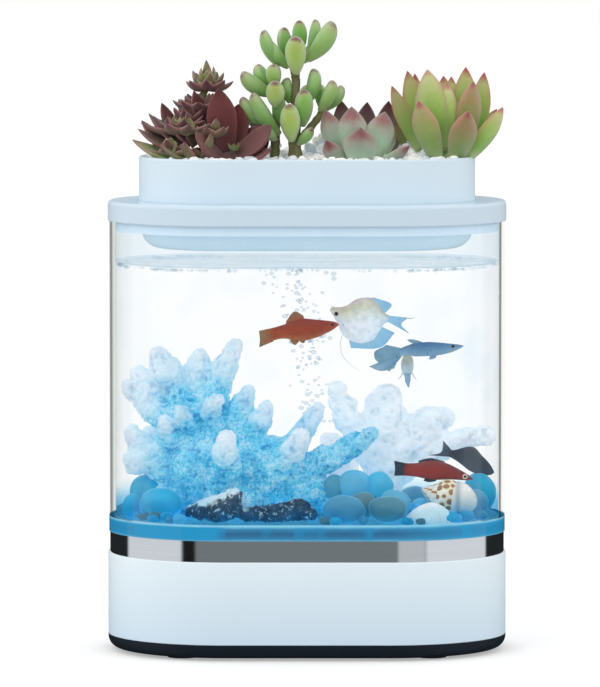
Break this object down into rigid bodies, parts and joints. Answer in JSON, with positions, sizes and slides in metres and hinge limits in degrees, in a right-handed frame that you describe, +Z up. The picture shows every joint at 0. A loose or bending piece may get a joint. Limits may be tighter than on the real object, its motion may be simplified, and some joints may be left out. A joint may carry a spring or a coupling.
{
  "type": "desktop aquarium",
  "caption": "Desktop glass aquarium: upright glass tank with rounded ends on a lit base with an air pump, and a lift-off lid that carries a planted tub.",
  "frame": {"origin": "centre of the footprint, at the level of the table", "axes": "+Z up, front towards -Y, +X to the right seen from the front"},
  "size_m": [0.168, 0.104, 0.2666],
  "materials": {
    "foot_plastic": "satin black-blue moulded plastic with a soft sheen",
    "foot_rubber": "soft black rubber",
    "white_shell_plastic": "glossy moulded ABS, very pale bluish white",
    "white_lid_plastic": "glossy moulded ABS, very pale bluish white",
    "screw_steel": "zinc plated steel",
    "band_metal": "polished steel strip with soft reflections",
    "inner_white_plastic": "plain moulded ABS",
    "white_board": "white solder mask on a flat board",
    "led_light": "small blue-white LEDs",
    "frosted_acrylic": "frosted translucent acrylic",
    "laminated_iron": "stacked iron laminations",
    "copper_wire": "enamelled copper winding",
    "arm_plastic": "plain moulded nylon",
    "magnet": "plated magnet",
    "silicone": "clear silicone hose",
    "green_board": "green circuit board",
    "black_parts": "black moulded parts",
    "tank_glass": "clear polished glass with a faint blue tint at its edges",
    "grey_plastic": "grey moulded plastic",
    "sponge": "open-cell filter sponge",
    "air_stone": "porous sintered stone",
    "blue_coral": "rough cast resin, saturated blue with frosty white tips",
    "dark_rock": "rough dark stone with pale flecks",
    "white_coral": "pale translucent cast resin",
    "blue_glass": "tumbled frosted blue glass",
    "spotted_shell": "glossy white sea shell with brown spots",
    "white_sea_shell": "ribbed white sea shell",
    "fleece": "white fleece",
    "soil": "dark crumbly potting soil",
    "white_gravel": "rounded white and grey gravel",
    "red_sedum": "waxy dark red leaves with green hearts",
    "maroon_leaf": "waxy dark maroon leaves",
    "green_bean_leaf": "smooth fleshy green leaves with brown-red tips",
    "pale_leaf": "powdery pale green leaves with maroon points",
    "green_leaf": "smooth fleshy green leaves with red edges"
  },
  "bodies": {
    "base": {"foot_tray": "foot_plastic", "rubber_feet": "foot_rubber", "base_shell": "white_shell_plastic", "base_screws": "screw_steel", "polished_band": "band_metal", "deck_ring": "inner_white_plastic", "deck_screws": "screw_steel", "led_board": "white_board", "led_chips": "led_light", "diffuser_panel": "frosted_acrylic", "pump_dampers": "foot_rubber", "pump_housing": "inner_white_plastic", "pump_cover": "inner_white_plastic", "pump_core": "laminated_iron", "pump_coil": "copper_wire", "pump_pin": "screw_steel", "pump_bellows": "foot_rubber", "valve_chamber": "inner_white_plastic", "inlet_hose": "silicone", "check_valve": "frosted_acrylic", "air_hose": "silicone", "control_board": "green_board", "board_components": "black_parts", "board_screws": "screw_steel", "power_socket": "black_parts", "socket_pin": "screw_steel", "switch_board": "green_board", "light_switch": "black_parts", "tank_glass": "tank_glass", "floor_gland": "inner_white_plastic", "gland_nut": "inner_white_plastic", "gland_seal": "foot_rubber", "filter_cup": "grey_plastic", "filter_sponge": "sponge", "filter_cap": "grey_plastic", "air_stone": "air_stone", "blue_coral": "blue_coral", "dark_rocks": "dark_rock", "white_coral": "white_coral", "glass_pebbles": "blue_glass", "spotted_shell": "spotted_shell", "white_shell": "white_sea_shell"},
    "lid": {"lid_frame": "white_lid_plastic"},
    "planter": {"planter_tub": "white_lid_plastic", "planter_grid": "grey_plastic", "root_fleece": "fleece", "soil": "soil", "white_gravel": "white_gravel", "red_sedum": "red_sedum", "maroon_rosette": "maroon_leaf", "jelly_bean_plant": "green_bean_leaf", "pale_rosette": "pale_leaf", "green_rosette": "green_leaf"},
    "button": {"light_button": "white_shell_plastic"},
    "pump_lever": {"pump_arm": "arm_plastic", "pump_magnets": "magnet"}
  },
  "joints": [
    {"name": "lid_lift", "type": "slide", "parent": "base", "child": "lid", "axis": [0, 0, 1], "range_m": [0, 0.06]},
    {"name": "planter_lift", "type": "slide", "parent": "lid", "child": "planter", "axis": [0, 0, 1], "range_m": [0, 0.045]},
    {"name": "light_button_press", "type": "slide", "parent": "base", "child": "button", "axis": [0, -1, 0], "range_m": [0, 0.0008], "stiffness_N_per_m": 300},
    {"name": "pump_arm_swing", "type": "hinge", "parent": "base", "child": "pump_lever", "pos_m": [-0.0454, 0.0234, 0.0215], "axis": [0, 0, 1], "range_deg": [-2.5, 2.5], "stiffness_Nm_per_rad": 0.02, "deforming": ["pump_bellows"]}
  ]
}
